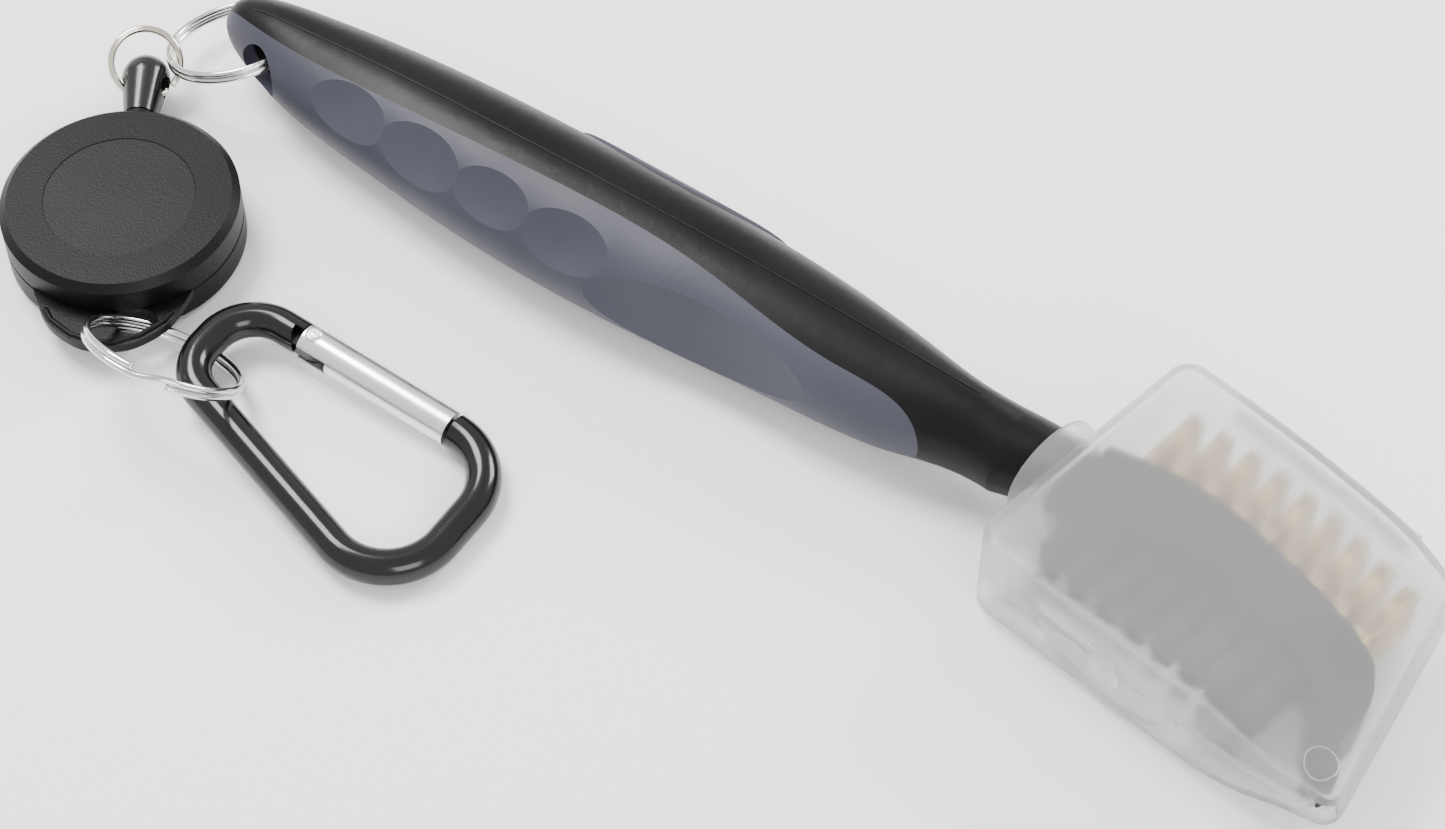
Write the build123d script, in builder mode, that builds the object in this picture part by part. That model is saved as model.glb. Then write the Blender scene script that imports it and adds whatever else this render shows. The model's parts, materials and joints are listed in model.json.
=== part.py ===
"""Club groove brush with a clamshell head cover, hung from a retracting reel by split rings.

Origin: centre of the cover's flat underside, on the surface the brush lies on.
+X runs along the handle from the lanyard end to the head, +Y points to the side of the
brass bristles and the thumb, and +Z is up, square to the plane that the bristles lie in.
"""

import os
from math import cos, pi, radians, sin, sqrt

from build123d import *

os.makedirs("parts", exist_ok=True)


def save(piece, name):
    """Label a finished piece and write it under its own name."""
    piece.label = name
    export_step(piece, f"parts/{name}.step")


# ---------------------------------------------------------------- frames
MID_Z = 8.8                      # mid-plane of handle, head and cover seam, above the rest face
NECK_X, NECK_Y = -24.8, 3.7      # where the neck enters the cover
HEAD_TURN = -12                  # the head is turned this much from the handle's line
HEAD_X = (cos(radians(HEAD_TURN)), sin(radians(HEAD_TURN)), 0)
HANDLE = Plane(origin=(NECK_X, NECK_Y, MID_Z), x_dir=(1, 0, 0), z_dir=(0, 0, 1))
HEAD = Plane(origin=(NECK_X, NECK_Y, MID_Z), x_dir=HEAD_X, z_dir=(0, 0, 1))
REACH = 60                       # longer than any local feature, for cutting right through


def section_plane(frame, x):
    """Plane across a frame's x axis: local x is the frame's y, local y is the frame's z."""
    return Plane(origin=frame.from_local_coords((x, 0, 0)), x_dir=frame.y_dir, z_dir=frame.x_dir)


def side_plane(frame, y=0):
    """Plane along a frame, facing its -y: local x is the frame's x, local y is its z."""
    return Plane(origin=frame.from_local_coords((0, y, 0)), x_dir=frame.x_dir, z_dir=-frame.y_dir)


# ---------------------------------------------------------------- handle
# Stations along the handle: distance from the neck, y of the top ridge,
# half depth in z, half width on the finger side, half width on the thumb side.
STATIONS = [
    (-132.2, 1.6, 1.3, 1.2, 1.3),
    (-130.8, 1.5, 3.6, 2.9, 3.2),
    (-127.5, 1.2, 5.2, 4.4, 4.8),
    (-119.0, 0.8, 6.5, 7.2, 6.7),
    (-105.0, 0.5, 7.7, 9.4, 8.5),
    (-80.0, 0.3, 8.4, 11.8, 9.7),
    (-55.0, 0.2, 8.4, 11.7, 9.6),
    (-34.0, 0.1, 7.6, 10.3, 8.4),
    (-18.0, 0.0, 6.6, 8.8, 5.9),
    (-4.0, -0.5, 5.5, 6.4, 5.2),
]
GRIP_THICK = 2.2                 # soft grip moulded over the hard core
PAD_SINK = 1.6                   # thumb pad: depth let into the core
PAD_PROUD = 0.6                  # thumb pad: height above the core
NECK_R = 5.4                     # round neck where it enters the cover
SECTION_POINTS = 16              # points that carry each section's curve
LANYARD_X, LANYARD_Z, LANYARD_R = -122.3, 0.4, 3.7


def egg(ridge, depth, finger, thumb):
    """Closed curve with a different half width on each side of its ridge."""
    points = []
    for i in range(SECTION_POINTS):
        turn = 2 * pi * i / SECTION_POINTS
        width = thumb if cos(turn) > 0 else finger
        points.append((ridge + width * cos(turn), depth * sin(turn)))
    Spline(*points, periodic=True)


def handle_blank(finger_inset=0.0, thumb_inset=0.0, depth_inset=0.0):
    """The handle's outer shape through its stations, moved in by the given insets."""
    with BuildPart() as blank:
        for x, ridge, depth, finger, thumb in STATIONS:
            grow = min(1.0, depth / 5.0)
            b = depth - depth_inset * grow
            near = finger - finger_inset * grow
            far = thumb - thumb_inset * grow
            with BuildSketch(section_plane(HANDLE, x)):
                with BuildLine():
                    egg(ridge, b, near, far)
                make_face()
        loft()
    return blank.part


def grip_region():
    """Everything on the finger side of the line where soft grip meets hard core."""
    with BuildPart() as region:
        with BuildSketch(HANDLE.offset(-REACH / 2)):
            with BuildLine():
                edge = Spline((-136, 2.4), (-128, -0.9), (-113, -3.1), (-81, -3.1), (-50, -3.6),
                              (-27.5, -5.8), (-14, -7.4), (-10.6, -11))
                Polyline(edge @ 1, (-10.6, -25), (-136, -25), edge @ 0)
            make_face()
        extrude(amount=REACH)
    return region.part


def pad_region():
    """Long oval on the thumb side, cut straight through along y."""
    with BuildPart() as region:
        with BuildSketch(side_plane(HANDLE, 3)):
            with Locations((-62, 0)):
                Ellipse(17.5, 5.6)
        extrude(amount=-REACH)
    return region.part


# Hollows pressed into the soft grip: distance from the neck, angle up from the side,
# radius of the ball that makes it, and depth.
DENTS = [(-107.0, 40, 22, 0.9), (-93.5, 40, 22, 0.9), (-80.5, 42, 22, 0.9), (-67.5, 40, 22, 0.9),
         (-42.5, 14, 75, 1.8)]


def dent_centre(x, rise, radius, depth):
    """Where the ball's centre lies, square to the finger side at that angle."""
    for one, two in zip(STATIONS, STATIONS[1:]):
        if one[0] <= x <= two[0]:
            part = (x - one[0]) / (two[0] - one[0])
            ridge, half, width = [p + (q - p) * part for p, q in zip(one[1:4], two[1:4])]
    y = ridge - width * cos(radians(rise))
    z = half * sin(radians(rise))
    outward = Vector(0, -cos(radians(rise)) / width, sin(radians(rise)) / half).normalized()
    return HANDLE.from_local_coords(Vector(x, y, z) + outward * (radius - depth))


outer = handle_blank()
under_grip = handle_blank(finger_inset=GRIP_THICK, depth_inset=GRIP_THICK * 0.8)
under_pad = handle_blank(thumb_inset=PAD_SINK)
over_pad = handle_blank(thumb_inset=-PAD_PROUD)
grip_zone = grip_region()
pad_zone = pad_region()

with BuildPart() as lanyard_hole:
    with BuildSketch(side_plane(HANDLE)):
        with Locations((LANYARD_X, LANYARD_Z)):
            Circle(LANYARD_R)
    extrude(amount=REACH / 2, both=True)

with BuildPart() as grip_space:
    add(outer)
    add(grip_zone, mode=Mode.INTERSECT)
    add(under_grip, mode=Mode.SUBTRACT)

with BuildPart() as finger_grip:
    add(grip_space.part)
    add(lanyard_hole.part, mode=Mode.SUBTRACT)
    for dent in DENTS:
        with Locations(dent_centre(*dent)):
            Sphere(dent[2], mode=Mode.SUBTRACT)
save(finger_grip.part, "finger_grip")

with BuildPart() as thumb_pad:
    add(over_pad)
    add(pad_zone, mode=Mode.INTERSECT)
    add(under_pad, mode=Mode.SUBTRACT)
save(thumb_pad.part, "thumb_pad")

# ---------------------------------------------------------------- head block and beak
BLOCK_HALF = 4.9                 # half depth of the bar that carries the bristles
BRASS_EDGE = [(6.4, 4.8), (11, 6.4), (19, 8.3), (29.5, 8.2), (40, 6.9), (48.7, 4.8)]
NYLON_EDGE = [(6.4, -4.4), (13, -3.2), (24, -2.0), (36.8, -0.7), (43, -1.4), (47.3, -5.1)]
BEAK = [(55.9, -9.8), (55.3, -12.0), (52.8, -12.0), (50.4, -9.3)]
BEAK_HALF = 2.6
BLOCK_SIDE = [(0, BLOCK_HALF), (45, BLOCK_HALF), (52, 3.5), (60, 2.8)]


def on_edge(edge, x):
    """Height of a broken line at x."""
    for (x0, y0), (x1, y1) in zip(edge, edge[1:]):
        if x0 <= x <= x1:
            return y0 + (y1 - y0) * (x - x0) / (x1 - x0)
    raise ValueError(x)


TUFT_R = 1.15
TUFT_ROWS = (-3.1, 0.0, 3.1)
TUFT_DEPTH = 3.2                 # how deep the bristle roots sit in their holes
STRAIGHT = TUFT_DEPTH + 0.8      # length of a tuft before it starts to fan out
ANCHOR = (1.9, 0.9, 0.4)         # flat metal staple at the bottom of each hole
NYLON_X = [11.2 + 4.5 * i for i in range(8)]
BRASS_X = [10.8 + 4.35 * i for i in range(9)]


def nylon_tip(x):
    """The nylon side is trimmed to a shallow hollow curve."""
    return -11.4 - 0.0045 * (x - 22) ** 2


def brass_tip(x):
    """The brass side is trimmed to a shallow crown."""
    return 18.3 - 0.005 * (x - 26) ** 2


def tuft_place(x, y, z, side):
    """Location on the head whose z axis points out along +y or -y."""
    return HEAD.location * Location((x, y, z), (-90 * side, 0, 0))


def tufts(columns, edge, tip, side, spread):
    """All tufts of one side, each fanning out a little towards its tip."""
    with BuildPart() as field:
        for x in columns:
            root = on_edge(edge, x) - side * TUFT_DEPTH
            length = abs(tip(x) - root)
            for z in TUFT_ROWS:
                with Locations(tuft_place(x, root, z, side)):
                    Cylinder(TUFT_R, STRAIGHT, align=(Align.CENTER, Align.CENTER, Align.MIN))
                with Locations(tuft_place(x, root + side * STRAIGHT, z, side)):
                    Cone(TUFT_R, TUFT_R + spread, length - STRAIGHT,
                         align=(Align.CENTER, Align.CENTER, Align.MIN))
    return field.part


def tuft_holes(columns, edge, side):
    """Blind holes for the tufts and, below them, for their anchors."""
    with BuildPart() as holes:
        for x in columns:
            bottom = on_edge(edge, x) - side * (TUFT_DEPTH + ANCHOR[1])
            for z in TUFT_ROWS:
                with Locations(tuft_place(x, bottom, z, side)):
                    Cylinder(TUFT_R, TUFT_DEPTH + ANCHOR[1] + 3,
                             align=(Align.CENTER, Align.CENTER, Align.MIN))
    return holes.part


def anchors(columns, edge, side, field):
    """Add one flat staple under each tuft to the open builder."""
    for x in columns:
        bottom = on_edge(edge, x) - side * (TUFT_DEPTH + ANCHOR[1])
        for z in TUFT_ROWS:
            with Locations(tuft_place(x, bottom, z, side)):
                Box(ANCHOR[0], ANCHOR[2], ANCHOR[1], align=(Align.CENTER, Align.CENTER, Align.MIN))
    return field


with BuildPart() as head_block:
    with BuildSketch(HEAD.offset(-BLOCK_HALF)):
        with BuildLine():
            brass_side = Spline(*BRASS_EDGE)
            nose = ThreePointArc(brass_side @ 1, (51.6, 1.5), (52.9, -5.9))
            Polyline(nose @ 1, *BEAK, NYLON_EDGE[-1])
            nylon_side = Spline(*NYLON_EDGE)
            Line(nylon_side @ 0, brass_side @ 0)
        make_face()
    extrude(amount=2 * BLOCK_HALF)
    # the bar thins towards its end, and the beak is thinner still
    with BuildSketch(side_plane(HEAD)):
        with BuildLine():
            Polyline(*BLOCK_SIDE, *[(x, -z) for x, z in reversed(BLOCK_SIDE)], close=True)
        make_face()
    extrude(amount=REACH, both=True, mode=Mode.INTERSECT)
    for side in (-1, 1):
        with BuildSketch(HEAD.offset(side * BEAK_HALF)):
            with Locations((BEAK[1][0], BEAK[1][1])):
                Rectangle(12, 8.4)
        extrude(amount=side * BLOCK_HALF, mode=Mode.SUBTRACT)

with BuildPart() as handle_core:
    add(outer)
    # neck: from the last station, turning into the head's direction
    with BuildSketch(section_plane(HANDLE, STATIONS[-1][0])):
        with BuildLine():
            egg(*STATIONS[-1][1:])
        make_face()
    with BuildSketch(section_plane(HEAD, 2.0)):
        with BuildLine():
            egg(-0.2, NECK_R - 0.2, NECK_R, NECK_R)
        make_face()
    with BuildSketch(section_plane(HEAD, 8.0)):
        with BuildLine():
            egg(0.6, NECK_R - 0.5, NECK_R - 0.5, NECK_R - 0.5)
        make_face()
    loft()
    add(head_block.part)
    # the soft grip, thumb pad and lanyard hole take their space
    add(lanyard_hole.part, mode=Mode.SUBTRACT)
    add(grip_space.part, mode=Mode.SUBTRACT)
    add(thumb_pad.part, mode=Mode.SUBTRACT)
    add(tuft_holes(NYLON_X, NYLON_EDGE, -1), mode=Mode.SUBTRACT)
    add(tuft_holes(BRASS_X, BRASS_EDGE, 1), mode=Mode.SUBTRACT)
save(handle_core.part, "handle_core")

save(tufts(NYLON_X, NYLON_EDGE, nylon_tip, -1, 0.45), "nylon_bristles")
save(tufts(BRASS_X, BRASS_EDGE, brass_tip, 1, 0.35), "brass_bristles")

with BuildPart() as tuft_anchors:
    anchors(NYLON_X, NYLON_EDGE, -1, tuft_anchors)
    anchors(BRASS_X, BRASS_EDGE, 1, tuft_anchors)
save(tuft_anchors.part, "tuft_anchors")

# ---------------------------------------------------------------- clamshell cover
COVER_HALF = 8.8                 # height of each half at the rear
NOSE_HALF = 4.5                  # the cover thins to this at the nose
WALL = 1.2
SEAM = 0.08                      # half of the gap between the two halves
REAR_X = 4.4
REAR_NEAR, REAR_FAR = (REAR_X, -18.2), (REAR_X, 20.9)
FAR_MID, NOSE_FAR = (26, 21.7), (49.4, 20.2)
NOSE_TIP, NEAR_BEND = (58.8, -12.9), (46, -15.7)
COLLAR = (7.3, 6.5)              # outside half width and half height of the ring round the neck
COLLAR_FROM = 0.9
NECK_HOLE = (6.3, 6.0)
HINGE_Y = 23.7                   # lid hinge axis, in the seam plane, along the head
HINGE_R, PIN_R, PIN_GAP = 1.6, 0.6, 0.05
HINGE_START, KNUCKLE, KNUCKLE_GAP = 12.0, 5.4, 0.3
RECESS_AT, RECESS_W, RECESS_H = (25.5, 0), 10.5, 7.0
RECESS_FLOOR_Y = -15.9           # the near wall steps in to this for the thumb
TONGUE_W, TONGUE_H, TONGUE_T, TONGUE_Y = 4.6, 3.4, 1.0, -16.2
SLOT_W, SLOT_H = 4.6, 1.5        # slot in the nose that shows the beak's end


def cover_blank(side, inset):
    """Half of the cover's outer shape, or of its cavity: side +1 is the lid, -1 the tray."""
    height = COVER_HALF - inset
    with BuildPart() as blank:
        with BuildSketch(HEAD.offset(side * SEAM)) as outline:
            with BuildLine():
                ThreePointArc(REAR_FAR, FAR_MID, NOSE_FAR)
                Polyline(NOSE_FAR, NOSE_TIP, NEAR_BEND, REAR_NEAR, REAR_FAR)
            make_face()
            for point, radius in ((REAR_NEAR, 3.5), (REAR_FAR, 3.5), (NOSE_FAR, 3.5),
                                  (NEAR_BEND, 20), (NOSE_TIP, 2.6)):
                fillet(outline.vertices().sort_by_distance(point)[0], radius)
            offset(amount=-inset)
        extrude(amount=side * (height - SEAM))
        # side profile: level over the bristles, then thinning to the nose
        with BuildSketch(side_plane(HEAD)):
            with BuildLine():
                top = Line((0, side * height), (37, side * height))
                slope = Bezier((37, side * height), (46, side * height),
                               (49, side * (NOSE_HALF - inset)), (59, side * (NOSE_HALF - inset)))
                Polyline(slope @ 1, (66, side * (NOSE_HALF - inset)), (66, 0), (0, 0), top @ 0)
            make_face()
        extrude(amount=REACH, both=True, mode=Mode.INTERSECT)
        outside = blank.faces().filter_by(lambda f: side * f.normal_at().Z > 0.6)
        inner_lines = [e for e in outside[0].edges() if any(e.is_same(o) for o in outside[-1].edges())]
        rim = [e for f in outside for e in f.edges() if not any(e.is_same(i) for i in inner_lines)]
        fillet(rim, radius=max(2.6 - inset, 0.8))
    return blank.part


def knuckle_spans(first, count):
    """Start positions of every second knuckle, along the head's x."""
    return [HINGE_START + (first + 2 * i) * (KNUCKLE + KNUCKLE_GAP) for i in range(count)]


def knuckle_sketch(side):
    """Barrel and the web that joins it to the wall on its own side of the seam."""
    with Locations((HINGE_Y, 0)):
        Circle(HINGE_R)
    with Locations(((HINGE_Y + 20.6) / 2, side * (SEAM + 1.3))):
        Rectangle(HINGE_Y - 20.6, 2.6)


def cover_half(side, knuckles, bore):
    """One half of the clamshell: hollow shell, half collar, neck opening and hinge knuckles."""
    shell = cover_blank(side, 0) - cover_blank(side, WALL)
    with BuildPart() as half:
        add(shell)
        with BuildSketch(section_plane(HEAD, COLLAR_FROM)):
            add(half_ellipse(side, COLLAR))
        extrude(amount=REAR_X + WALL - COLLAR_FROM)
        with BuildSketch(section_plane(HEAD, 0)):
            add(half_ellipse(side, NECK_HOLE))
        extrude(amount=REAR_X + WALL + 0.6, mode=Mode.SUBTRACT)
        for start in knuckles:
            with BuildSketch(section_plane(HEAD, start)):
                knuckle_sketch(side)
            extrude(amount=KNUCKLE)
        with BuildSketch(section_plane(HEAD, HINGE_START - 5)):
            with Locations((HINGE_Y, 0)):
                Circle(bore)
        extrude(amount=REACH, mode=Mode.SUBTRACT)
        # slot at the nose for the beak's end
        with BuildSketch(HEAD.offset(-SLOT_H)):
            with Locations((NOSE_TIP[0] - 1.4, NOSE_TIP[1] - 1.0)):
                Rectangle(5.0, SLOT_W, rotation=-35)
        extrude(amount=2 * SLOT_H, mode=Mode.SUBTRACT)
    return half.part


def recess_outline(half_width, height):
    """Half oval that hangs from the seam on the near wall."""
    with BuildSketch() as outline:
        with Locations(RECESS_AT):
            Ellipse(half_width, height)
        with Locations((RECESS_AT[0], REACH / 2 - SEAM)):
            Rectangle(REACH, REACH, mode=Mode.SUBTRACT)
    return outline.sketch


def half_ellipse(side, radii):
    """Upper or lower half of an ellipse, stopping at its own side of the seam gap."""
    with BuildSketch() as half:
        Ellipse(*radii)
        with Locations((0, side * (SEAM - REACH / 2))):
            Rectangle(REACH, REACH, mode=Mode.SUBTRACT)
    return half.sketch


def at(x, y, z):
    """Row position of a point given from the neck along the handle's line, and its height."""
    return Vector(NECK_X + x, NECK_Y + y, z)


with BuildPart() as cover_lower:
    add(cover_half(-1, knuckle_spans(0, 3), PIN_R))
    # a pocket under the seam for the thumb, with its floor behind it
    with BuildSketch(side_plane(HEAD, RECESS_FLOOR_Y + WALL)):
        add(recess_outline(RECESS_W + WALL, RECESS_H + WALL))
    extrude(amount=WALL + 0.6)
    with BuildSketch(side_plane(HEAD, RECESS_FLOOR_Y)):
        add(recess_outline(RECESS_W, RECESS_H))
    extrude(amount=REACH, mode=Mode.SUBTRACT)
save(cover_lower.part, "cover_lower")

with BuildPart() as cover_upper:
    add(cover_half(1, knuckle_spans(1, 2), PIN_R + PIN_GAP))
    # snap tongue that hangs into the pocket
    with BuildSketch(side_plane(HEAD, TONGUE_Y)):
        with Locations((RECESS_AT[0], (SEAM + 2.4 - TONGUE_H) / 2)):
            Rectangle(TONGUE_W, TONGUE_H + SEAM + 2.4)
    extrude(amount=TONGUE_T)
save(cover_upper.part, "cover_upper")

with BuildPart() as cover_hinge_pin:
    with BuildSketch(section_plane(HEAD, HINGE_START + 0.2)):
        with Locations((HINGE_Y, 0)):
            Circle(PIN_R)
    extrude(amount=5 * KNUCKLE + 4 * KNUCKLE_GAP - 0.4)
save(cover_hinge_pin.part, "cover_hinge_pin")

# ---------------------------------------------------------------- reel
REEL_X, REEL_Y = -123.3, -32.9   # reel centre, from the neck
REEL_R, REEL_H = 16.0, 9.6
REEL_WALL = 1.3
CORD_DIR = (-0.554, 0.8325, 0)   # from the reel's centre out through its nozzle
FACE_R, FACE_T, FACE_DEEP = 10.1, 0.6, 0.7
NOZZLE_R, NOZZLE_END, CORD_BORE = 2.25, 17.9, 0.9
CORD_R = 0.4
HUB_R, DRUM_R, WOUND_R, FLANGE_R = 6.6, 8.2, 9.9, 12.6
SPOOL_LOW, SPOOL_HIGH, FLANGE_T = 1.7, 7.9, 0.8
AXLE_R, AXLE_GAP = 1.5, 0.05
LUG_TOP, LUG_T = 5.0, 1.3
EYE_AT, EYE_R = (-17.4, -3.6), (2.1, 3.0)
REEL = Plane(origin=at(REEL_X, REEL_Y, 0), x_dir=CORD_DIR, z_dir=(0, 0, 1))
REEL_MID = REEL_H / 2


def radial_plane(frame):
    """Plane through a frame's x and z axes, for profiles that turn about its z."""
    return Plane(origin=frame.origin, x_dir=frame.x_dir, z_dir=-frame.y_dir)


def turned(points, frame):
    """Solid of revolution of an outline of (radius, height) about a frame's z axis."""
    with BuildPart() as piece:
        with BuildSketch(radial_plane(frame)):
            with BuildLine():
                Polyline(*points, close=True)
            make_face()
        revolve(axis=Axis(frame.origin, frame.z_dir))
    return piece.part


def nozzle(side):
    """Half of the short spout that guides the cord, above or below the parting line."""
    with BuildPart() as spout:
        with BuildSketch(section_plane(REEL.offset(REEL_MID), REEL_R - 1.6)):
            Circle(NOZZLE_R)
            with Locations((0, -side * REACH / 2)):
                Rectangle(REACH, REACH, mode=Mode.SUBTRACT)
        extrude(amount=NOZZLE_END - REEL_R + 1.6)
    return spout.part


with BuildPart() as cord_bore:
    with BuildSketch(section_plane(REEL.offset(REEL_MID), DRUM_R)):
        Circle(CORD_BORE)
    extrude(amount=NOZZLE_END)

EDGE = 1.0                       # bevel of the case's top and bottom rims
GROOVE = 0.25                    # bevel that shows the line where the two shells meet
with BuildPart() as reel_case_lower:
    add(turned([(0, 0), (REEL_R - EDGE, 0), (REEL_R, EDGE), (REEL_R, REEL_MID - GROOVE),
                (REEL_R - GROOVE, REEL_MID), (REEL_R - REEL_WALL, REEL_MID), (REEL_R - REEL_WALL, REEL_WALL), (0, REEL_WALL)], REEL))
    add(nozzle(-1))
    # winged lug opposite the nozzle, with an eye for the split ring
    with BuildSketch(REEL.offset(LUG_TOP - LUG_T)):
        with BuildLine():
            wing = Spline((-11.0, -11.0), (-14.8, -9.5), (-17.8, -7.9), (-20.4, -4.9), (-21.7, 0),
                          tangents=((-1, 0.4), (0, 1)))
            mirror(wing, about=Plane.XZ)
            Line((-11.0, -11.0), (-11.0, 11.0))
        make_face()
        with Locations(EYE_AT):
            Ellipse(*EYE_R, mode=Mode.SUBTRACT)
    extrude(amount=LUG_T)
    add(turned([(0, REEL_WALL), (REEL_R - REEL_WALL, REEL_WALL), (REEL_R - REEL_WALL, REEL_MID + 1),
                (0, REEL_MID + 1)], REEL), mode=Mode.SUBTRACT)
    add(cord_bore.part, mode=Mode.SUBTRACT)
save(reel_case_lower.part, "reel_case_lower")

with BuildPart() as reel_case_upper:
    add(turned([(0, REEL_H - FACE_DEEP), (FACE_R + 0.05, REEL_H - FACE_DEEP), (FACE_R + 0.05, REEL_H),
                (REEL_R - EDGE, REEL_H), (REEL_R, REEL_H - EDGE), (REEL_R, REEL_MID + GROOVE),
                (REEL_R - GROOVE, REEL_MID),
                (REEL_R - REEL_WALL, REEL_MID), (REEL_R - REEL_WALL, REEL_H - REEL_WALL - FACE_DEEP / 2),
                (0, REEL_H - REEL_WALL - FACE_DEEP / 2)], REEL))
    add(nozzle(1))
    add(turned([(0, REEL_MID - 1), (REEL_R - REEL_WALL, REEL_MID - 1),
                (REEL_R - REEL_WALL, REEL_H - REEL_WALL - FACE_DEEP / 2),
                (0, REEL_H - REEL_WALL - FACE_DEEP / 2)], REEL), mode=Mode.SUBTRACT)
    add(cord_bore.part, mode=Mode.SUBTRACT)
save(reel_case_upper.part, "reel_case_upper")

reel_face_disc = turned([(0, REEL_H - FACE_DEEP), (FACE_R, REEL_H - FACE_DEEP),
                         (FACE_R, REEL_H - FACE_DEEP + FACE_T), (0, REEL_H - FACE_DEEP + FACE_T)], REEL)
save(reel_face_disc, "reel_face_disc")

AXLE_TOP = REEL_H - REEL_WALL - FACE_DEEP / 2
reel_axle = turned([(0, REEL_WALL), (AXLE_R, REEL_WALL), (AXLE_R, AXLE_TOP), (0, AXLE_TOP)], REEL)
save(reel_axle, "reel_axle")

bore = AXLE_R + AXLE_GAP
reel_spool = turned([(bore, SPOOL_HIGH - FLANGE_T), (bore, SPOOL_HIGH), (FLANGE_R, SPOOL_HIGH),
                     (FLANGE_R, SPOOL_HIGH - FLANGE_T), (DRUM_R, SPOOL_HIGH - FLANGE_T),
                     (DRUM_R, SPOOL_LOW + FLANGE_T), (FLANGE_R, SPOOL_LOW + FLANGE_T), (FLANGE_R, SPOOL_LOW),
                     (HUB_R, SPOOL_LOW), (HUB_R, SPOOL_HIGH - FLANGE_T)], REEL)
save(reel_spool, "reel_spool")

wound_cord = turned([(DRUM_R, SPOOL_LOW + FLANGE_T), (WOUND_R, SPOOL_LOW + FLANGE_T),
                     (WOUND_R, SPOOL_HIGH - FLANGE_T), (DRUM_R, SPOOL_HIGH - FLANGE_T)], REEL)
save(wound_cord, "wound_cord")

# flat coiled spring between the axle and the drum
SPRING_TURNS, SPRING_T, SPRING_H = 6, 0.25, 3.6
SPRING_IN, SPRING_OUT = AXLE_R + 0.5, HUB_R - 0.2


def spiral(radius_shift):
    """Points along the coil, moved outwards by radius_shift."""
    steps = 12 * SPRING_TURNS
    path = []
    for i in range(steps + 1):
        turn = 2 * pi * SPRING_TURNS * i / steps
        radius = SPRING_IN + (SPRING_OUT - SPRING_IN) * i / steps + radius_shift
        path.append((radius * cos(turn), radius * sin(turn)))
    return path


with BuildPart() as reel_spring:
    with BuildSketch(REEL.offset(SPOOL_LOW + 0.6)):
        with BuildLine():
            inner_coil = Spline(*spiral(-SPRING_T / 2))
            outer_coil = Spline(*spiral(SPRING_T / 2))
            Line(inner_coil @ 0, outer_coil @ 0)
            Line(inner_coil @ 1, outer_coil @ 1)
        make_face()
    extrude(amount=SPRING_H)
save(reel_spring.part, "reel_spring")

# ---------------------------------------------------------------- cord end and rings
CAP_MOUTH, CAP_END = 18.1, 28.7
CAP_MOUTH_R, CAP_R, CAP_EYE_AT, CAP_EYE_R = 2.3, 3.3, 23.4, 1.7
CORD_LINE = Plane(origin=at(REEL_X, REEL_Y, REEL_MID), x_dir=(0, 0, 1), z_dir=CORD_DIR)

with BuildPart() as cord_end_cap:
    with BuildSketch(radial_plane(CORD_LINE)):
        with BuildLine():
            flank = Line((CAP_MOUTH_R, CAP_MOUTH), (CAP_R, CAP_END - CAP_R - 0.6))
            dome = ThreePointArc(flank @ 1, (CAP_R * 0.66, CAP_END - 0.9), (0, CAP_END))
            Polyline(dome @ 1, (0, CAP_MOUTH), flank @ 0)
        make_face()
    revolve(axis=Axis(CORD_LINE.origin, CORD_LINE.z_dir))
    with BuildSketch(CORD_LINE.offset(CAP_MOUTH)):
        Circle(CORD_R + 0.1)
    extrude(amount=2.6, mode=Mode.SUBTRACT)
    with BuildSketch(side_plane(REEL.offset(REEL_MID))):
        with Locations((CAP_EYE_AT, 0)):
            Circle(CAP_EYE_R)
    extrude(amount=REACH / 2, both=True, mode=Mode.SUBTRACT)
save(cord_end_cap.part, "cord_end_cap")

with BuildPart() as cord_tail:
    with BuildSketch(CORD_LINE.offset(WOUND_R + 0.1)):
        Circle(CORD_R)
    extrude(amount=CAP_MOUTH + 2.5 - WOUND_R - 0.1)
save(cord_tail.part, "cord_tail")

SPLIT_WIRE, SPLIT_COIL = 0.55, 0.42     # wire radius, and half the pitch between the two coils


def ring_plane(centre, normal):
    """Plane of a ring, its x axis level."""
    level = Vector(0, 0, 1).cross(Vector(*normal))
    return Plane(origin=centre, x_dir=level, z_dir=normal)


def split_ring(plane, radius):
    """Double-coil ring as one ring with a two-lobed section."""
    with BuildPart() as ring:
        with BuildSketch(radial_plane(plane)):
            with Locations((radius, SPLIT_COIL), (radius, -SPLIT_COIL)):
                Circle(SPLIT_WIRE)
        revolve(axis=Axis(plane.origin, plane.z_dir))
    return ring.part


HANDLE_RING = ring_plane(at(-129.6, -1.2, 7.7), (-0.33, 0.14, 1.0))
HANDLE_RING_R = 9.5
save(split_ring(HANDLE_RING, HANDLE_RING_R), "handle_split_ring")

LINK_RING = ring_plane(at(-137.93, -10.84, 6.78), (0.518, -0.472, 1.0))
LINK_R, LINK_WIRE = 4.73, 0.5
with BuildPart() as link_ring:
    with BuildSketch(radial_plane(LINK_RING)):
        with Locations((LINK_R, 0)):
            Circle(LINK_WIRE)
    revolve(axis=Axis(LINK_RING.origin, LINK_RING.z_dir))
save(link_ring.part, "link_ring")

LUG_RING = ring_plane(at(-101.76, -49.49, 8.17), (0.004, 0.725, 0.769))
LUG_RING_R = 10.46
save(split_ring(LUG_RING, LUG_RING_R), "lug_split_ring")

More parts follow.
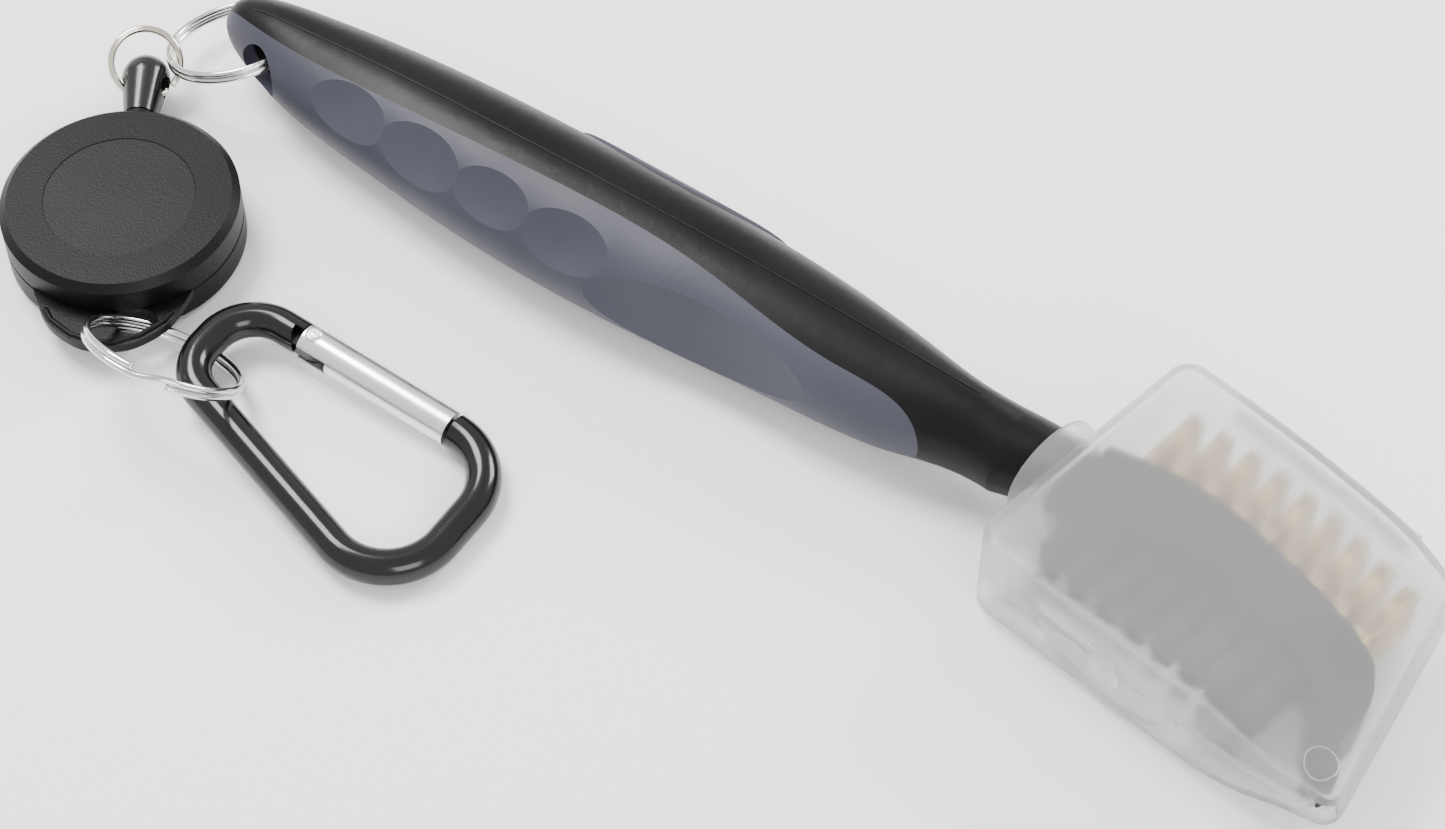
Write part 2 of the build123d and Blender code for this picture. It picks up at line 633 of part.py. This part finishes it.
# ---------------------------------------------------------------- carabiner
# Its own frame: origin at the corner of the narrow end on the gate's line, x towards the wide end.
ROD_R = 2.35
CLIP_TILT = 0.05                 # rise towards the narrow end, which rests on the ring
CLIP_CORNERS = [((0, 0), 6.5), ((0.2, -13.2), 6.5), ((43.6, -26.0), 8.5), ((43.4, 0), 8.8)]
HINGE_AT, NOSE_AT = 11.6, 33.5   # gate pivot and latch, along the gate's line
clip_len = sqrt(1 + CLIP_TILT ** 2)
clip_x = Vector(1 / clip_len, 0, -CLIP_TILT / clip_len)
clip_z = Vector(CLIP_TILT, 0, 1)
CLIP = Plane(origin=at(-100.83, -34.75, ROD_R + 0.1 + CLIP_TILT * 43.4), x_dir=clip_x,
             z_dir=clip_z - clip_x * clip_z.dot(clip_x) / clip_x.dot(clip_x))
GATE_R, GATE_WALL = 2.45, 0.6
RIVET_R, RIVET_GAP = 0.75, 0.05
TANG_T = 2.0                     # flat tongue of the hook inside the gate's fork
SWEEP_R = 3.0                    # radius that the gate's corner sweeps at its pivot

with BuildPart() as carabiner_body:
    with BuildLine() as route:
        corners = [CLIP.from_local_coords((x, y, 0)) for (x, y), radius in CLIP_CORNERS]
        radii = [radius for corner, radius in CLIP_CORNERS]
        start = CLIP.from_local_coords((HINGE_AT - 1.6, 0, 0))
        end = CLIP.from_local_coords((NOSE_AT + 1.0, 0, 0))
        FilletPolyline(start, *corners, end, radius=radii)
    with BuildSketch(section_plane(CLIP, HINGE_AT - 1.6)):
        Circle(ROD_R)
    sweep()
    # room for the gate's inner corner as it turns about its rivet
    with BuildSketch(CLIP.offset(-REACH / 2)):
        with Locations((HINGE_AT, 0)):
            Circle(SWEEP_R)
            Rectangle(2 * SWEEP_R, SWEEP_R, align=(Align.CENTER, Align.MIN), mode=Mode.SUBTRACT)
    extrude(amount=REACH, mode=Mode.SUBTRACT)
    # tongue that carries the rivet
    with BuildSketch(CLIP.offset(-TANG_T / 2)):
        with Locations((HINGE_AT, 0)):
            Circle(1.9)
        with Locations((HINGE_AT - 1.8, 0)):
            Rectangle(3.6, 3.8)
    extrude(amount=TANG_T)
    with BuildSketch(CLIP.offset(-ROD_R)):
        with Locations((HINGE_AT, 0)):
            Circle(RIVET_R)
    extrude(amount=2 * ROD_R, mode=Mode.SUBTRACT)
    # hook that the gate's end closes on
    with BuildSketch(CLIP.offset(-TANG_T / 2)):
        with Locations((NOSE_AT, 0)):
            Rectangle(2.6, 1.8)
    extrude(amount=TANG_T)
save(carabiner_body.part, "carabiner_body")

with BuildPart() as carabiner_gate:
    with BuildSketch(section_plane(CLIP, HINGE_AT - 1.3)):
        Circle(GATE_R)
    extrude(amount=NOSE_AT + 0.5 - HINGE_AT + 1.3)
    # forks for the tongue and for the hook, the second one open only on the outside
    with BuildSketch(CLIP.offset(-TANG_T / 2 - 0.15)):
        with Locations((HINGE_AT + 0.6, 0)):
            Rectangle(5.6, 2 * GATE_R + 1)
        with Locations((NOSE_AT - 0.2, GATE_R / 2)):
            Rectangle(4.6, GATE_R + 2.4)
    extrude(amount=TANG_T + 0.3, mode=Mode.SUBTRACT)
    with BuildSketch(CLIP.offset(-REACH / 2)):
        with Locations((HINGE_AT, 0)):
            Circle(RIVET_R + RIVET_GAP)
    extrude(amount=REACH, mode=Mode.SUBTRACT)
    # bore for the return plunger
    with BuildSketch(section_plane(CLIP, HINGE_AT + 3.4)):
        Circle(0.9)
    extrude(amount=12, mode=Mode.SUBTRACT)
save(carabiner_gate.part, "carabiner_gate")

with BuildPart() as gate_rivet:
    with BuildSketch(CLIP.offset(-GATE_R - 0.25)):
        with Locations((HINGE_AT, 0)):
            Circle(RIVET_R)
    extrude(amount=2 * GATE_R + 0.5)
save(gate_rivet.part, "gate_rivet")

with BuildPart() as gate_spring:
    with BuildSketch(section_plane(CLIP, HINGE_AT + 3.6)):
        Circle(0.8)
    extrude(amount=9)
save(gate_spring.part, "gate_spring")
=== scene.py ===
"""Looks of a club groove brush in its clamshell cover, on a retracting reel with a carabiner.

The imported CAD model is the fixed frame. This script gives every node a material, and puts in the
parts that want finer shapes: bristle filaments, coiled split rings, moulding lines, rims and studio.
All sizes below are in millimetres unless a name says otherwise; mm() turns them into metres.
"""

import json
import math
import random

import bpy
from mathutils import Matrix, Vector
from mathutils.bvhtree import BVHTree


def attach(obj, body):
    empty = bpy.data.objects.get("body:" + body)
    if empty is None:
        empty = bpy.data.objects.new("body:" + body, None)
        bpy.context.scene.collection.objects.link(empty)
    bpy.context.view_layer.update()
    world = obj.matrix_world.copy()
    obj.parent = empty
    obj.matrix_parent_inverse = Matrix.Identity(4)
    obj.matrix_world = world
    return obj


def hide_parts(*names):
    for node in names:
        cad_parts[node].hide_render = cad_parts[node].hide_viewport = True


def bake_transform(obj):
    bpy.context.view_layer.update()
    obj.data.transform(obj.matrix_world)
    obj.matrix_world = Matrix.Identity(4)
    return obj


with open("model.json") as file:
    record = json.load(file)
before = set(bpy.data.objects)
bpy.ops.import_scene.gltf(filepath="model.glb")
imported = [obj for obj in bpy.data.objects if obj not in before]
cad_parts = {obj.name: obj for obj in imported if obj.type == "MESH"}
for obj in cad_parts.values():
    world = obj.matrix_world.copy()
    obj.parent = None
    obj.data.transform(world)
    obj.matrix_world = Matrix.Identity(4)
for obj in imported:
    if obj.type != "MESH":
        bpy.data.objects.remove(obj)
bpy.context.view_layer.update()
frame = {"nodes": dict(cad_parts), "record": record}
NODES = frame["nodes"]
rng = random.Random(11)

# ---------------------------------------------------------------- shared frames, as in the CAD
MID_Z = 8.8
NECK = Vector((-24.8, 3.7, MID_Z))
HEAD_TURN = math.radians(-12)
HEAD_X = Vector((math.cos(HEAD_TURN), math.sin(HEAD_TURN), 0))
HEAD_Y = Vector((-math.sin(HEAD_TURN), math.cos(HEAD_TURN), 0))
UP = Vector((0, 0, 1))
REEL_CENTRE = NECK + Vector((-123.3, -32.9, -MID_Z))
CORD_DIR = Vector((-0.554, 0.8325, 0)).normalized()
CORD_SIDE = Vector((0.8325, 0.554, 0)).normalized()


def mm(point):
    """A point in millimetres, as metres."""
    return Vector(point) * 0.001


def head(x, y, z=0.0):
    """Point in the head's own frame: x along the head, y across, z from the mid-plane."""
    return NECK + HEAD_X * x + HEAD_Y * y + UP * z


def reel(out, side, z):
    """Point in the reel's own frame: out towards the cord's exit, side across, z above the floor."""
    return REEL_CENTRE + CORD_DIR * out + CORD_SIDE * side + UP * z


def handle(x, y, z):
    """Point measured from the neck along the handle, with its height above the floor."""
    return NECK + Vector((x, y, z - MID_Z))


# ---------------------------------------------------------------- meshes
def make_mesh(name, verts, faces, material, body, slot):
    """New piece from vertices in millimetres, riding on a CAD body if one is named."""
    mesh = bpy.data.meshes.new(name)
    mesh.from_pydata([mm(v) for v in verts], [], faces)
    mesh.validate()
    mesh.update()
    mesh.shade_smooth()
    piece = bpy.data.objects.new(name, mesh)
    bpy.context.collection.objects.link(piece)
    piece.data.materials.append(material)
    if body:
        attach(piece, body)
    return piece


def tube(points, radius, sides=12, closed=False):
    """Vertices and faces of a round tube along points."""
    points = [Vector(p) for p in points]
    count = len(points)
    verts, faces = [], []
    side = None
    for i, point in enumerate(points):
        before = points[(i - 1) % count] if closed or i else point
        after = points[(i + 1) % count] if closed or i < count - 1 else point
        along = (after - before).normalized()
        if side is None:
            side = along.cross(UP if abs(along.z) < 0.9 else Vector((1, 0, 0))).normalized()
        side = (side - along * side.dot(along)).normalized()
        up = side.cross(along)
        for k in range(sides):
            turn = 2 * math.pi * k / sides
            verts.append(point + side * (radius * math.cos(turn)) + up * (radius * math.sin(turn)))
    rings = count if closed else count - 1
    for i in range(rings):
        for k in range(sides):
            a = i * sides + k
            b = i * sides + (k + 1) % sides
            c = ((i + 1) % count) * sides + (k + 1) % sides
            d = ((i + 1) % count) * sides + k
            faces.append((a, b, c, d))
    if not closed:
        faces.append(tuple(reversed(range(sides))))
        faces.append(tuple((count - 1) * sides + k for k in range(sides)))
    return verts, faces


def join(parts):
    """One vertex and face list out of several."""
    verts, faces = [], []
    for some_verts, some_faces in parts:
        start = len(verts)
        verts.extend(some_verts)
        faces.extend(tuple(start + i for i in face) for face in some_faces)
    return verts, faces


def surface(node):
    """Search tree of a CAD node's mesh."""
    mesh = NODES[node].data
    return BVHTree.FromPolygons([v.co for v in mesh.vertices], [p.vertices[:] for p in mesh.polygons])


# ---------------------------------------------------------------- materials
def new_material(name, colour, roughness, **sockets):
    """Principled material with uniform values set on its own sockets."""
    made = bpy.data.materials.new(name)
    made.use_nodes = True
    shader = made.node_tree.nodes["Principled BSDF"]
    shader.inputs["Base Color"].default_value = (*colour, 1)
    shader.inputs["Roughness"].default_value = roughness
    for socket, value in sockets.items():
        shader.inputs[socket.replace("_", " ")].default_value = value
    return made


def noise(made, scale, detail=4.0, stretch=None):
    """Noise texture on the piece's own coordinates, in features per metre."""
    tree = made.node_tree
    texture = tree.nodes.new("ShaderNodeTexNoise")
    texture.inputs["Scale"].default_value = scale
    texture.inputs["Detail"].default_value = detail
    coords = tree.nodes.new("ShaderNodeTexCoord")
    if stretch:
        mapping = tree.nodes.new("ShaderNodeMapping")
        mapping.inputs["Scale"].default_value = stretch
        tree.links.new(coords.outputs["Object"], mapping.inputs["Vector"])
        tree.links.new(mapping.outputs["Vector"], texture.inputs["Vector"])
    else:
        tree.links.new(coords.outputs["Object"], texture.inputs["Vector"])
    return texture


def add_grain(made, scale, height_mm, detail=3.0, stretch=None):
    """Fine relief from noise."""
    tree = made.node_tree
    texture = noise(made, scale, detail, stretch)
    bump = tree.nodes.new("ShaderNodeBump")
    bump.inputs["Strength"].default_value = 1.0
    bump.inputs["Distance"].default_value = height_mm * 0.001
    tree.links.new(texture.outputs["Fac"], bump.inputs["Height"])
    tree.links.new(bump.outputs["Normal"], tree.nodes["Principled BSDF"].inputs["Normal"])


def add_pebble(made, scale, height_mm):
    """Fine pebbled relief of a textured mould."""
    tree = made.node_tree
    coords = tree.nodes.new("ShaderNodeTexCoord")
    cells = tree.nodes.new("ShaderNodeTexVoronoi")
    cells.feature = "SMOOTH_F1"
    cells.inputs["Scale"].default_value = scale
    bump = tree.nodes.new("ShaderNodeBump")
    bump.inputs["Distance"].default_value = height_mm * 0.001
    bump.invert = True
    tree.links.new(coords.outputs["Object"], cells.inputs["Vector"])
    tree.links.new(cells.outputs["Distance"], bump.inputs["Height"])
    tree.links.new(bump.outputs["Normal"], tree.nodes["Principled BSDF"].inputs["Normal"])


def add_mottle(made, scale, dark, light):
    """Slow change of colour from one tone to another."""
    tree = made.node_tree
    texture = noise(made, scale, 5.0)
    ramp = tree.nodes.new("ShaderNodeValToRGB")
    ramp.color_ramp.elements[0].position = 0.35
    ramp.color_ramp.elements[0].color = (*dark, 1)
    ramp.color_ramp.elements[1].position = 0.7
    ramp.color_ramp.elements[1].color = (*light, 1)
    tree.links.new(texture.outputs["Fac"], ramp.inputs["Fac"])
    tree.links.new(ramp.outputs["Color"], tree.nodes["Principled BSDF"].inputs["Base Color"])


def add_wear(made, scale, low, high):
    """Slow change of roughness between two values."""
    tree = made.node_tree
    texture = noise(made, scale, 4.0)
    spread = tree.nodes.new("ShaderNodeMapRange")
    spread.inputs["To Min"].default_value = low
    spread.inputs["To Max"].default_value = high
    tree.links.new(texture.outputs["Fac"], spread.inputs["Value"])
    tree.links.new(spread.outputs["Result"], tree.nodes["Principled BSDF"].inputs["Roughness"])


def core_black():
    made = new_material("core_black", (0.003, 0.003, 0.003), 0.3, Specular_IOR_Level=0.16)
    add_mottle(made, 60, (0.002, 0.002, 0.002), (0.004, 0.004, 0.004))
    add_grain(made, 2600, 0.012)
    add_wear(made, 90, 0.3, 0.44)
    return made


def grip_grey():
    made = new_material("grip_grey", (0.042, 0.042, 0.058), 0.46, Specular_IOR_Level=0.3)
    add_mottle(made, 45, (0.037, 0.037, 0.052), (0.048, 0.048, 0.066))
    add_grain(made, 3200, 0.016)
    add_wear(made, 120, 0.4, 0.55)
    return made


def cover_frost():
    made = new_material("cover_frost", (0.93, 0.94, 0.94), 0.3,
                        Transmission_Weight=0.88, IOR=1.17, Alpha=0.83)
    add_mottle(made, 35, (0.9, 0.91, 0.91), (0.95, 0.955, 0.955))
    add_grain(made, 2400, 0.02)
    return made


def nylon_black():
    made = new_material("nylon_black", (0.02, 0.02, 0.022), 0.38)
    add_mottle(made, 900, (0.012, 0.012, 0.013), (0.035, 0.035, 0.038))
    return made


def brass_wire():
    made = new_material("brass_wire", (0.8, 0.6, 0.33), 0.3, Metallic=1.0)
    add_mottle(made, 1200, (0.62, 0.43, 0.22), (0.9, 0.72, 0.45))
    return made


def steel(name, colour, roughness):
    made = new_material(name, colour, roughness, Metallic=1.0)
    add_grain(made, 1800, 0.004)
    add_wear(made, 260, roughness * 0.7, roughness * 1.4)
    return made


def nickel(name, dark, light):
    made = new_material(name, light, 0.12, Metallic=1.0)
    add_mottle(made, 180, dark, light)
    add_wear(made, 400, 0.07, 0.2)
    return made


def case_black(name, tone):
    made = new_material(name, (tone, tone, tone * 0.97), 0.42, Specular_IOR_Level=0.14)
    low, high = tone * 0.85, tone * 1.2
    add_mottle(made, 80, (low, low, low * 0.97), (high, high, high * 0.97))
    add_pebble(made, 3600, 0.025)
    return made


def cap_black():
    made = new_material("cap_black", (0.005, 0.005, 0.005), 0.2)
    add_wear(made, 200, 0.14, 0.28)
    add_grain(made, 900, 0.006)
    return made


def cord_black():
    made = new_material("cord_black", (0.02, 0.02, 0.02), 0.8)
    add_grain(made, 2500, 0.06, stretch=(1, 1, 3))
    return made


def spool_plastic():
    made = new_material("spool_plastic", (0.68, 0.67, 0.63), 0.4)
    add_mottle(made, 120, (0.64, 0.63, 0.59), (0.72, 0.71, 0.67))
    return made


def clip_black():
    made = new_material("clip_black", (0.004, 0.004, 0.004), 0.16, Specular_IOR_Level=0.4)
    add_mottle(made, 60, (0.003, 0.003, 0.003), (0.006, 0.006, 0.005))
    add_grain(made, 700, 0.008)
    return made


def gate_aluminium():
    made = new_material("gate_aluminium", (0.86, 0.86, 0.87), 0.28, Metallic=1.0)
    add_grain(made, 900, 0.012, stretch=(0.06, 1, 1))
    add_wear(made, 300, 0.2, 0.36)
    return made


MATERIALS = {
    "core_black": core_black(),
    "grip_grey": grip_grey(),
    "cover_frost": cover_frost(),
    "nylon_black": nylon_black(),
    "brass_wire": brass_wire(),
    "staple_steel": steel("staple_steel", (0.6, 0.6, 0.6), 0.35),
    "pin_steel": steel("pin_steel", (0.62, 0.62, 0.63), 0.25),
    "ring_nickel": nickel("ring_nickel", (0.62, 0.62, 0.61), (0.82, 0.82, 0.81)),
    "link_nickel": nickel("link_nickel", (0.66, 0.61, 0.5), (0.84, 0.8, 0.7)),
    "cap_black": cap_black(),
    "cord_black": cord_black(),
    "case_black": case_black("case_black", 0.004),
    "disc_black": case_black("disc_black", 0.008),
    "spool_plastic": spool_plastic(),
    "spring_steel": steel("spring_steel", (0.45, 0.45, 0.48), 0.3),
    "clip_black": clip_black(),
    "gate_aluminium": gate_aluminium(),
}


def dress_nodes():
    """Give every CAD node the material of its slot in the record."""
    for part in frame["record"]["subparts"]:
        mesh = NODES[part["node"]].data
        mesh.materials.clear()
        mesh.materials.append(MATERIALS[part["material_slot"]])


# ---------------------------------------------------------------- bristles
TUFT_ROWS = (-3.1, 0.0, 3.1)
TUFT_R = 1.05
TUFT_DEPTH = 3.2
GOLDEN_TURN = 2.39996                    # radians between neighbours, which packs a disc evenly
BRASS_EDGE = [(6.4, 4.8), (11, 6.4), (19, 8.3), (29.5, 8.2), (40, 6.9), (48.7, 4.8)]
NYLON_EDGE = [(6.4, -4.4), (13, -3.2), (24, -2.0), (36.8, -0.7), (43, -1.4), (47.3, -5.1)]
NYLON_X = [11.2 + 4.5 * i for i in range(8)]
BRASS_X = [10.8 + 4.35 * i for i in range(9)]


def on_edge(edge, x):
    """Height of a broken line at x."""
    for (x0, y0), (x1, y1) in zip(edge, edge[1:]):
        if x0 <= x <= x1:
            return y0 + (y1 - y0) * (x - x0) / (x1 - x0)
    return edge[-1][1]


def nylon_tip(x):
    return -11.3 - 0.0045 * (x - 22) ** 2


def brass_tip(x):
    return 18.2 - 0.005 * (x - 26) ** 2


def bristles(name, columns, edge, tip, side, spread, per_tuft, wire, material, node):
    """Every filament of one side of the brush, fanning out and slightly bent."""
    parts = []
    for x in columns:
        root = on_edge(edge, x) - side * TUFT_DEPTH
        for z in TUFT_ROWS:
            for i in range(per_tuft):
                turn = i * GOLDEN_TURN
                reach = math.sqrt((i + 0.5) / per_tuft)
                foot = (TUFT_R - wire) * reach
                fan = (TUFT_R + spread - wire) * reach
                dx, dz = math.cos(turn), math.sin(turn)
                end = tip(x) - side * rng.uniform(0.0, 0.35)
                bend = rng.uniform(-0.12, 0.12)
                start_point = head(x + foot * dx, root, z + foot * dz)
                middle = head(x + (foot + fan) / 2 * dx + bend, (root + end) / 2, z + (foot + fan) / 2 * dz)
                end_point = head(x + fan * dx, end, z + fan * dz)
                parts.append(tube([start_point, middle, end_point], wire, sides=5))
    verts, faces = join(parts)
    piece = make_mesh(name, verts, faces, MATERIALS[material], "brush", material)
    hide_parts(node)


# ---------------------------------------------------------------- rings
HANDLE_RING = (handle(-129.6, -1.2, 7.7), Vector((-0.33, 0.14, 1.0)).normalized(), 9.5)
LINK_RING = (handle(-137.93, -10.84, 6.78), Vector((0.518, -0.472, 1.0)).normalized(), 4.73)
LUG_RING = (handle(-101.76, -49.49, 8.17), Vector((0.004, 0.725, 0.769)).normalized(), 10.46)
COIL_WIRE, COIL_STEP = 0.46, 0.46        # wire radius, and each turn's shift along the ring's axis
COIL_SWEEP = 694                         # degrees of wire in all, a little under two turns
CROSS_FROM, CROSS_SWEEP = 334, 26        # degrees at which, and over which, the wire changes turn
END_GAP = 5                              # degrees left open at each end of a single ring


def ring_axes(normal, towards, centre):
    """Two directions in a ring's plane, the first pointing at a place."""
    first = towards - centre
    first = (first - normal * first.dot(normal)).normalized()
    return first, normal.cross(first)


def split_ring(name, ring, ends_at, material, body, node):
    """Two turns of wire side by side, with a step where one turn crosses to the other."""
    centre, normal, radius = ring
    first, second = ring_axes(normal, ends_at, centre)
    total, steps = math.radians(COIL_SWEEP), 360
    path = []
    for i in range(steps + 1):
        turn = total * i / steps
        crossing = min(1, max(0, (turn - math.radians(CROSS_FROM)) / math.radians(CROSS_SWEEP)))
        shift = COIL_STEP * (2 * (3 * crossing ** 2 - 2 * crossing ** 3) - 1)
        path.append(centre + first * (radius * math.cos(turn)) + second * (radius * math.sin(turn))
                    + normal * shift)
    piece = make_mesh(name, *tube(path, COIL_WIRE, 14), MATERIALS[material], body, material)
    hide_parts(node)


def open_ring(name, ring, gap_at, wire, material, body, node):
    """One turn of wire whose ends nearly meet."""
    centre, normal, radius = ring
    first, second = ring_axes(normal, gap_at, centre)
    gap = math.radians(END_GAP)
    steps = 160
    path = []
    for i in range(steps + 1):
        turn = gap + (2 * math.pi - 2 * gap) * i / steps
        path.append(centre + first * (radius * math.cos(turn)) + second * (radius * math.sin(turn)))
    piece = make_mesh(name, *tube(path, wire, 16), MATERIALS[material], body, material)
    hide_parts(node)


# ---------------------------------------------------------------- small mouldings
def spine_line():
    """Moulding line along the top of the hard core."""
    core = surface("handle_core")
    path = []
    steps = 120
    for i in range(steps + 1):
        x = -127 + 117 * i / steps
        spot = mm(handle(x, 0.55, 30))
        hit = core.ray_cast(spot, Vector((0, 0, -1)))[0]
        if hit is not None:
            path.append(hit * 1000 + UP * -0.04)
    make_mesh("spine_line", *tube(path, 0.16, 8), MATERIALS["core_black"], "brush", "core_black")


def lug_rim():
    """Raised border of the lug on the reel."""
    half = [(-15.6, -8.4), (-17.4, -7.4), (-19.7, -4.6), (-21.0, -1.4)]
    outline = half + [(x, -y) for x, y in reversed(half)]
    path = []
    for (x0, y0), (x1, y1) in zip(outline, outline[1:]):
        for i in range(6):
            path.append(reel(x0 + (x1 - x0) * i / 6, y0 + (y1 - y0) * i / 6, 5.0))
    make_mesh("lug_rim", *tube(path, 0.38, 10), MATERIALS["case_black"], "reel", "case_black")


def nose_mark():
    """Ejector mark on the lid's nose: a fine raised circle."""
    lid = surface("cover_upper")
    path = []
    for i in range(48):
        turn = 2 * math.pi * i / 48
        spot = head(53.9 + 2.0 * math.cos(turn), -10.9 + 2.0 * math.sin(turn), 20)
        hit = lid.ray_cast(mm(spot), Vector((0, 0, -1)))[0]
        path.append(hit * 1000)
    make_mesh("nose_mark", *tube(path, 0.13, 8, closed=True), MATERIALS["cover_frost"], "lid", "cover_frost")


CLIP_TILT = 0.05
CLIP_ORIGIN = handle(-100.83, -34.75, 2.45 + CLIP_TILT * 43.4)
CLIP_X = Vector((1, 0, -CLIP_TILT)).normalized()
CLIP_Z = Vector((CLIP_TILT, 0, 1)).normalized()
CLIP_Y = CLIP_Z.cross(CLIP_X)


def clip(x, y, z):
    """Point in the carabiner's own frame."""
    return CLIP_ORIGIN + CLIP_X * x + CLIP_Y * y + CLIP_Z * z


def rivet_heads():
    """Low domed heads on both ends of the gate's rivet."""
    parts = []
    for side in (-1, 1):
        rows, sides = 6, 28
        verts, faces = [], []
        for r in range(rows + 1):
            rise = math.radians(90) * r / rows
            for k in range(sides):
                turn = 2 * math.pi * k / sides
                wide = 1.15 * math.cos(rise)
                verts.append(clip(11.6 + wide * math.cos(turn), wide * math.sin(turn),
                                  side * (2.36 + 0.36 * math.sin(rise))))
        for r in range(rows):
            for k in range(sides):
                a, b = r * sides + k, r * sides + (k + 1) % sides
                faces.append((a, b, b + sides, a + sides))
        parts.append((verts, faces))
    verts, faces = join(parts)
    make_mesh("rivet_heads", verts, faces, MATERIALS["gate_aluminium"], "carabiner", "gate_aluminium")


def cord():
    """The cord between the cap and the spool, as one fixed tube."""
    steps = 90
    path = [reel(20.6 - 10.6 * i / steps, 0, 4.8) for i in range(steps + 1)]
    piece = make_mesh("pull_cord", *tube(path, 0.4, 10), MATERIALS["cord_black"], None, "cord_black")
    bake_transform(piece)
    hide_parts("cord_tail")


# ---------------------------------------------------------------- studio
def floor():
    """Plain pale floor."""
    half = 3.0
    mesh = bpy.data.meshes.new("floor")
    corners = [(-half, -half, 0), (half, -half, 0), (half, half, 0), (-half, half, 0)]
    mesh.from_pydata(corners, [], [(0, 1, 2, 3)])
    plane = bpy.data.objects.new("floor", mesh)
    bpy.context.collection.objects.link(plane)
    mesh.materials.append(new_material("floor_white", (0.95, 0.95, 0.95), 0.7, Specular_IOR_Level=0.1))


def soft_light(name, place, target, size, power):
    """Square area light aimed at a point; places in metres."""
    data = bpy.data.lights.new(name, "AREA")
    data.size = size
    data.energy = power
    lamp = bpy.data.objects.new(name, data)
    lamp.location = place
    lamp.rotation_euler = (Vector(target) - Vector(place)).to_track_quat("-Z", "Y").to_euler()
    bpy.context.collection.objects.link(lamp)


def camera():
    """Main view: from the front, above and to the right."""
    rise, turn = math.radians(53.5), math.radians(34.5)
    right = Vector((math.cos(turn), math.sin(turn), 0))
    ahead = Vector((-math.sin(turn) * math.cos(rise), math.cos(turn) * math.cos(rise), -math.sin(rise)))
    upward = right.cross(ahead)
    aim, distance = Vector((-0.0656, -0.0077, 0)), 0.4286
    data = bpy.data.cameras.new("camera")
    data.sensor_width = 36
    data.lens = 82.2
    data.clip_start = 0.01
    eye = bpy.data.objects.new("camera", data)
    turned = Matrix((right, upward, -ahead)).transposed().to_4x4()
    eye.matrix_world = Matrix.Translation(aim - ahead * distance) @ turned
    bpy.context.collection.objects.link(eye)
    bpy.context.scene.camera = eye


def studio():
    world = bpy.data.worlds.new("studio")
    bpy.context.scene.world = world
    world.use_nodes = True
    world.node_tree.nodes["Background"].inputs["Color"].default_value = (1.0, 1.0, 1.0, 1)
    world.node_tree.nodes["Background"].inputs["Strength"].default_value = 1.15
    middle = (-0.06, 0.0, 0.0)
    soft_light("key", (-0.45, 0.05, 0.6), middle, 0.3, 7.0)
    soft_light("fill", (0.45, -0.35, 0.45), middle, 0.35, 3.0)
    soft_light("rim", (0.1, 0.6, 0.35), middle, 0.25, 4.5)


dress_nodes()
bristles("nylon_filaments", NYLON_X, NYLON_EDGE, nylon_tip, -1, 0.45, 26, 0.13,
         "nylon_black", "nylon_bristles")
bristles("brass_filaments", BRASS_X, BRASS_EDGE, brass_tip, 1, 0.35, 38, 0.08,
         "brass_wire", "brass_bristles")
split_ring("handle_coil", HANDLE_RING, handle(-122, 6, 9), "ring_nickel", "handle_ring", "handle_split_ring")
open_ring("link_coil", LINK_RING, reel(22.6, 4.6, 4.5), 0.5, "link_nickel", "link", "link_ring")
split_ring("lug_coil", LUG_RING, handle(-98, -60, 4), "ring_nickel", "lug_ring", "lug_split_ring")
spine_line()
lug_rim()
nose_mark()
rivet_heads()
cord()
floor()
camera()
studio()

bpy.context.view_layer.update()
